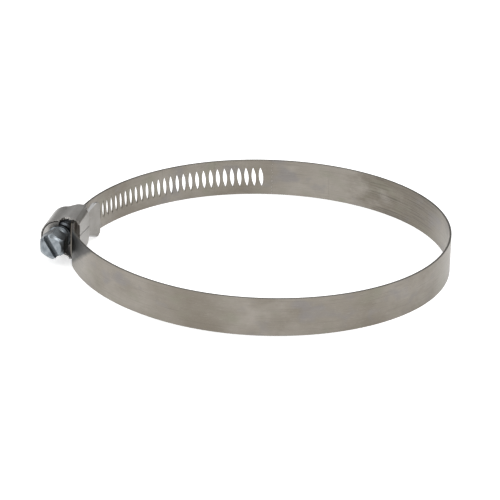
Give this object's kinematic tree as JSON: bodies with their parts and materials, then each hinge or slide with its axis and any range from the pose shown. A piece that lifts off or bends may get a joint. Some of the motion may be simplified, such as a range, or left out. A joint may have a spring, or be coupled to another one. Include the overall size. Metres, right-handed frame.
{
  "type": "worm-drive hose clamp",
  "caption": "Worm-drive hose clamp: a slotted steel band ring drawn through a screw housing by a slotted hex-head worm screw.",
  "frame": {"origin": "centre of the clamped circle, halfway up the band's width", "axes": "+Z along the ring's axis, +X toward the screw housing, +Y along the screw toward its head"},
  "size_m": [0.1339, 0.1212, 0.0144],
  "materials": {
    "band_steel": "satin cold-rolled stainless strip, brushed lengthwise",
    "housing_steel": "satin pressed stainless sheet",
    "screw_steel": "bright zinc-plated, turned and cold-headed"
  },
  "bodies": {
    "clamp_frame": {"housing": "housing_steel", "saddle": "housing_steel", "band_anchor": "band_steel"},
    "screw": {"worm_screw": "screw_steel"},
    "band_01_length": {"band_01": "band_steel"},
    "band_02_length": {"band_02": "band_steel"},
    "band_03_length": {"band_03": "band_steel"},
    "band_04_length": {"band_04": "band_steel"},
    "band_05_length": {"band_05": "band_steel"},
    "band_06_length": {"band_06": "band_steel"},
    "band_07_length": {"band_07": "band_steel"},
    "band_08_length": {"band_08": "band_steel"},
    "band_09_length": {"band_09": "band_steel"},
    "band_10_length": {"band_10": "band_steel"},
    "band_11_length": {"band_11": "band_steel"},
    "band_12_length": {"band_12": "band_steel"},
    "band_13_length": {"band_13": "band_steel"},
    "band_14_length": {"band_14": "band_steel"},
    "band_15_length": {"band_15": "band_steel"},
    "band_16_length": {"band_16": "band_steel"},
    "slotted_end": {"band_tail": "band_steel"}
  },
  "joints": [
    {"name": "screw_spin", "type": "hinge", "parent": "clamp_frame", "child": "screw", "pos_m": [0.06725, 0.0065, 0], "axis": [0, -1, 0], "range_deg": [0, 3600]},
    {"name": "bend_01", "type": "hinge", "parent": "clamp_frame", "child": "band_01_length", "pos_m": [0.05913, 0.02234, 0], "axis": [0, 0, 1], "range_deg": [0, 3.4]},
    {"name": "bend_02", "type": "hinge", "parent": "clamp_frame", "child": "band_02_length", "pos_m": [0.0574, 0.02473, 0], "axis": [0, 0, 1], "range_deg": [0, 4.15]},
    {"name": "bend_03", "type": "hinge", "parent": "clamp_frame", "child": "band_03_length", "pos_m": [0.05862, 0.02339, 0], "axis": [0, 0, 1], "range_deg": [0, 3.91]},
    {"name": "bend_04", "type": "hinge", "parent": "clamp_frame", "child": "band_04_length", "pos_m": [0.05603, 0.02558, 0], "axis": [0, 0, 1], "range_deg": [0, 4.21]},
    {"name": "bend_05", "type": "hinge", "parent": "clamp_frame", "child": "band_05_length", "pos_m": [0.04387, 0.03299, 0], "axis": [0, 0, 1], "range_deg": [0, 5.45]},
    {"name": "bend_06", "type": "hinge", "parent": "clamp_frame", "child": "band_06_length", "pos_m": [0.02851, 0.03858, 0], "axis": [0, 0, 1], "range_deg": [0, 7.3]},
    {"name": "bend_07", "type": "hinge", "parent": "clamp_frame", "child": "band_07_length", "pos_m": [0.01516, 0.04007, 0], "axis": [0, 0, 1], "range_deg": [0, 9.25]},
    {"name": "bend_08", "type": "hinge", "parent": "clamp_frame", "child": "band_08_length", "pos_m": [0.00486, 0.03855, 0], "axis": [0, 0, 1], "range_deg": [0, 11.06]},
    {"name": "bend_09", "type": "hinge", "parent": "clamp_frame", "child": "band_09_length", "pos_m": [-0.0027, 0.03523, 0], "axis": [0, 0, 1], "range_deg": [0, 12.66]},
    {"name": "bend_10", "type": "hinge", "parent": "clamp_frame", "child": "band_10_length", "pos_m": [-0.00798, 0.03097, 0], "axis": [0, 0, 1], "range_deg": [0, 14.05]},
    {"name": "bend_11", "type": "hinge", "parent": "clamp_frame", "child": "band_11_length", "pos_m": [-0.01134, 0.02632, 0], "axis": [0, 0, 1], "range_deg": [0, 15.28]},
    {"name": "bend_12", "type": "hinge", "parent": "clamp_frame", "child": "band_12_length", "pos_m": [-0.01311, 0.02169, 0], "axis": [0, 0, 1], "range_deg": [0, 16.38]},
    {"name": "bend_13", "type": "hinge", "parent": "clamp_frame", "child": "band_13_length", "pos_m": [-0.01356, 0.01736, 0], "axis": [0, 0, 1], "range_deg": [0, 17.38]},
    {"name": "bend_14", "type": "hinge", "parent": "clamp_frame", "child": "band_14_length", "pos_m": [-0.01294, 0.01356, 0], "axis": [0, 0, 1], "range_deg": [0, 18.31]},
    {"name": "bend_15", "type": "hinge", "parent": "clamp_frame", "child": "band_15_length", "pos_m": [-0.01152, 0.01044, 0], "axis": [0, 0, 1], "range_deg": [0, 19.17]},
    {"name": "bend_16", "type": "hinge", "parent": "clamp_frame", "child": "band_16_length", "pos_m": [-0.00954, 0.00807, 0], "axis": [0, 0, 1], "range_deg": [0, 19.99]},
    {"name": "band_feed", "type": "hinge", "parent": "clamp_frame", "child": "slotted_end", "pos_m": [-0.0072, 0.0065, 0], "axis": [0, 0, 1], "range_deg": [0, 20.79]}
  ],
  "couplings": [
    {"joint": "bend_01", "follows": "screw_spin", "ratio": 0.00094252},
    {"joint": "bend_02", "follows": "screw_spin", "ratio": 0.0011487},
    {"joint": "bend_03", "follows": "screw_spin", "ratio": 0.0010832},
    {"joint": "bend_04", "follows": "screw_spin", "ratio": 0.0011664},
    {"joint": "bend_05", "follows": "screw_spin", "ratio": 0.0015125},
    {"joint": "bend_06", "follows": "screw_spin", "ratio": 0.0020237},
    {"joint": "bend_07", "follows": "screw_spin", "ratio": 0.0025676},
    {"joint": "bend_08", "follows": "screw_spin", "ratio": 0.0030703},
    {"joint": "bend_09", "follows": "screw_spin", "ratio": 0.0035128},
    {"joint": "bend_10", "follows": "screw_spin", "ratio": 0.0038999},
    {"joint": "bend_11", "follows": "screw_spin", "ratio": 0.0042417},
    {"joint": "bend_12", "follows": "screw_spin", "ratio": 0.0045478},
    {"joint": "bend_13", "follows": "screw_spin", "ratio": 0.0048259},
    {"joint": "bend_14", "follows": "screw_spin", "ratio": 0.0050821},
    {"joint": "bend_15", "follows": "screw_spin", "ratio": 0.0053216},
    {"joint": "bend_16", "follows": "screw_spin", "ratio": 0.0055497},
    {"joint": "band_feed", "follows": "screw_spin", "ratio": 0.0057733}
  ]
}
